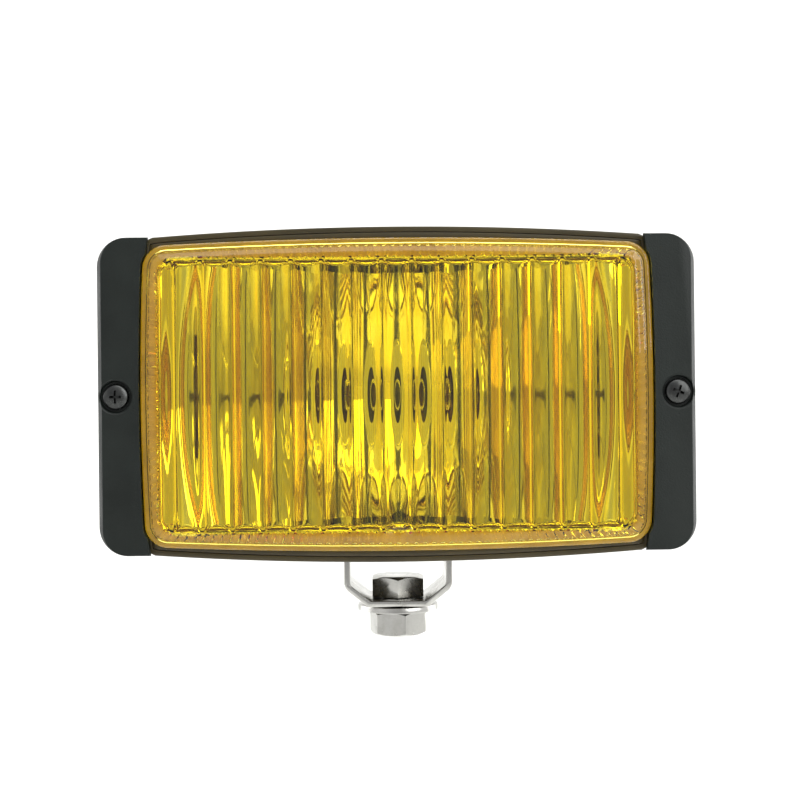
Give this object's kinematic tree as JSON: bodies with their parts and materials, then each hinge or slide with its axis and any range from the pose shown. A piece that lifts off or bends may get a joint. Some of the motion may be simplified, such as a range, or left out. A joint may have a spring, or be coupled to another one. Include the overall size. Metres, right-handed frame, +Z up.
{
  "type": "fog light",
  "caption": "Rectangular fog light with a fluted yellow glass lens and black end caps, tilting on a zinc-plated U bracket that swivels on its mounting bolt.",
  "frame": {"origin": "centre of the bracket foot's underside, on the axis of the M10 mounting bolt", "axes": "+Z up along the mounting bolt, -Y out of the lens, +X to the right seen from the front"},
  "size_m": [0.183, 0.0723, 0.1319],
  "materials": {
    "zinc_plate": "bright zinc-plated steel",
    "housing_plastic": "moulded black, semi-gloss",
    "cap_plastic": "moulded black with a fine texture",
    "rubber": "matt black",
    "brass": "turned",
    "yellow_glass": "clear yellow pressed glass, fluted inside",
    "sealant": "cured bead",
    "mirror_aluminium": "aluminised and lacquered",
    "plain_steel": "stamped",
    "black_steel": "black-passivated steel",
    "quartz": "clear quartz",
    "nylon": "natural moulded"
  },
  "bodies": {
    "mount": {"mount_washer": "zinc_plate", "mount_nut": "zinc_plate"},
    "bracket": {"bracket": "zinc_plate", "mount_bolt": "zinc_plate", "pivot_bolt": "zinc_plate", "pivot_nut": "zinc_plate", "pivot_washer_left": "zinc_plate", "pivot_washer_right": "zinc_plate"},
    "lamp": {"housing": "housing_plastic", "pivot_bush": "plain_steel", "insert_nut_left": "brass", "insert_nut_right": "brass", "cable_grommet": "rubber", "breather_cap": "rubber", "rim_gasket": "rubber", "lens_seal": "sealant", "reflector": "mirror_aluminium", "lens": "yellow_glass", "end_cap_left": "cap_plastic", "end_cap_right": "cap_plastic", "cap_screw_left": "black_steel", "cap_screw_right": "black_steel", "bulb_holder": "plain_steel", "bulb_clip": "plain_steel", "bulb_base": "black_steel", "bulb_glass": "quartz", "bulb_filament": "plain_steel", "bulb_lead": "rubber", "lead_terminal": "nylon"}
  },
  "joints": [
    {"name": "swivel", "type": "hinge", "parent": "mount", "child": "bracket", "pos_m": [0, 0, 0], "axis": [0, 0, 1], "continuous": true},
    {"name": "tilt", "type": "hinge", "parent": "bracket", "child": "lamp", "pos_m": [0, 0, 0.0199], "axis": [1, 0, 0], "range_deg": [-20, 20]}
  ]
}
